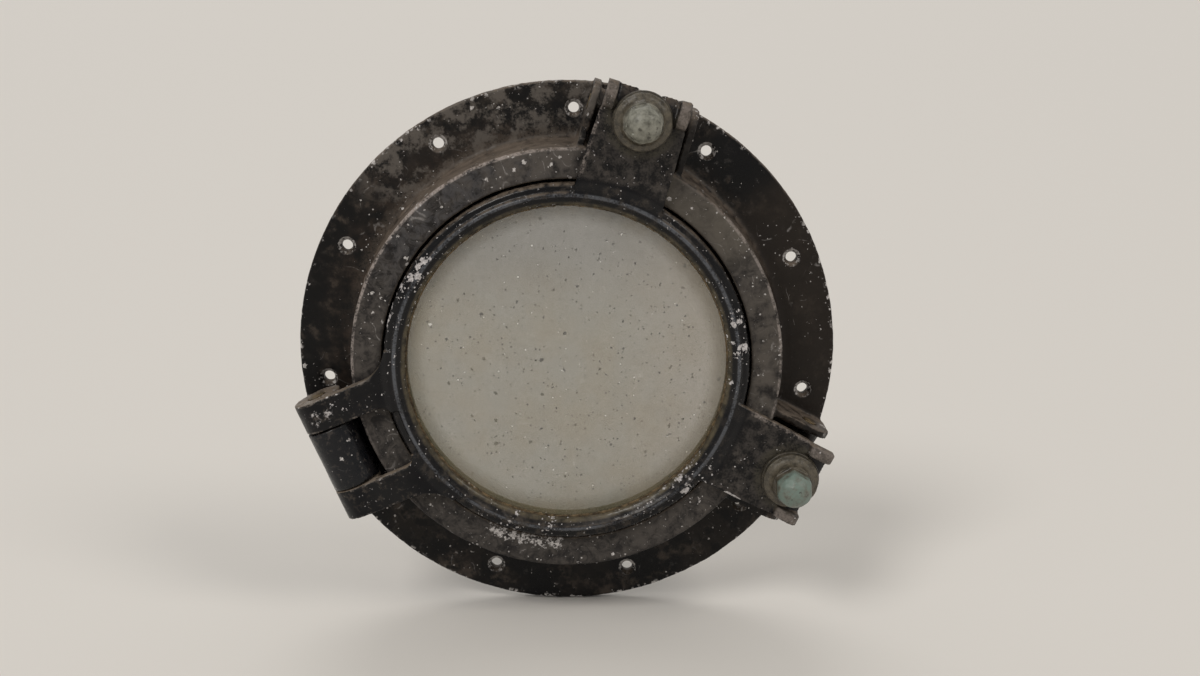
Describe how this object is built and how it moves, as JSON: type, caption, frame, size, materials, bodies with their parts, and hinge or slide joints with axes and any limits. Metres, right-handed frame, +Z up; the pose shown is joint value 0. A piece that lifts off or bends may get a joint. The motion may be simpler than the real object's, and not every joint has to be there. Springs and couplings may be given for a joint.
{
  "type": "porthole window",
  "caption": "Old ship's opening porthole: round flanged frame, hinged glazed sash and swing-bolt dogs with domed nuts.",
  "frame": {"origin": "on the porthole's axis, in the plane of the flange's back face, which seats on the ship's side", "axes": "+Y along the axis, out through the ship's side; -Y into the room; +Z up as the porthole is mounted; +X to the right as seen from the room"},
  "size_m": [0.3751, 0.0906, 0.3796],
  "materials": {
    "frame_casting": "worn black paint over cast alloy, chipped white, front ring rubbed warm grey",
    "sash_casting": "glossy black paint over cast alloy, chipped white",
    "glass": "clear glass, dirty and faintly green",
    "bedding": "hardened brown putty",
    "gasket": "matt black rubber",
    "retaining_ring": "dull brown bronze",
    "bronze_pin": "dull brown bronze",
    "bronze_bolt": "dull brown bronze",
    "bronze_washer": "dark olive-brown bronze",
    "bronze_nut": "bronze under pale green verdigris"
  },
  "bodies": {
    "frame": {"main_frame": "frame_casting", "sash_gasket": "gasket", "hinge_pin": "bronze_pin", "dog_pin_upper": "bronze_pin", "dog_pin_lower": "bronze_pin"},
    "sash": {"sash_frame": "sash_casting", "front_bedding": "bedding", "glass_pane": "glass", "rear_bedding": "bedding", "retaining_ring": "retaining_ring"},
    "dog_upper": {"dog_bolt_upper": "bronze_bolt"},
    "washer_upper": {"dog_washer_upper": "bronze_washer"},
    "nut_upper": {"dog_nut_upper": "bronze_nut"},
    "dog_lower": {"dog_bolt_lower": "bronze_bolt"},
    "washer_lower": {"dog_washer_lower": "bronze_washer"},
    "nut_lower": {"dog_nut_lower": "bronze_nut"}
  },
  "joints": [
    {"name": "sash_hinge", "type": "hinge", "parent": "frame", "child": "sash", "pos_m": [-0.15465, -0.0376, -0.06564], "axis": [0.3907, 0, -0.9205], "range_deg": [0, 180]},
    {"name": "dog_upper_swing", "type": "hinge", "parent": "frame", "child": "dog_upper", "pos_m": [0.04943, -0.026, 0.16475], "axis": [-0.9578, 0, 0.2874], "range_deg": [0, 95]},
    {"name": "washer_upper_lift", "type": "slide", "parent": "dog_upper", "child": "washer_upper", "axis": [0, -1, 0], "range_m": [0, 0.006]},
    {"name": "nut_upper_turn", "type": "hinge", "parent": "washer_upper", "child": "nut_upper", "pos_m": [0.04943, -0.0586, 0.16475], "axis": [0, -1, 0], "range_deg": [0, 1080]},
    {"name": "dog_lower_swing", "type": "hinge", "parent": "frame", "child": "dog_lower", "pos_m": [0.15284, -0.026, -0.07889], "axis": [0.4587, 0, 0.8886], "range_deg": [0, 95]},
    {"name": "washer_lower_lift", "type": "slide", "parent": "dog_lower", "child": "washer_lower", "axis": [0, -1, 0], "range_m": [0, 0.006]},
    {"name": "nut_lower_turn", "type": "hinge", "parent": "washer_lower", "child": "nut_lower", "pos_m": [0.15284, -0.0586, -0.07889], "axis": [0, -1, 0], "range_deg": [0, 1080]}
  ],
  "couplings": [
    {"joint": "nut_upper_turn", "follows": "washer_upper_lift", "rad_per_m": 3141.6},
    {"joint": "nut_lower_turn", "follows": "washer_lower_lift", "rad_per_m": 3141.6}
  ]
}
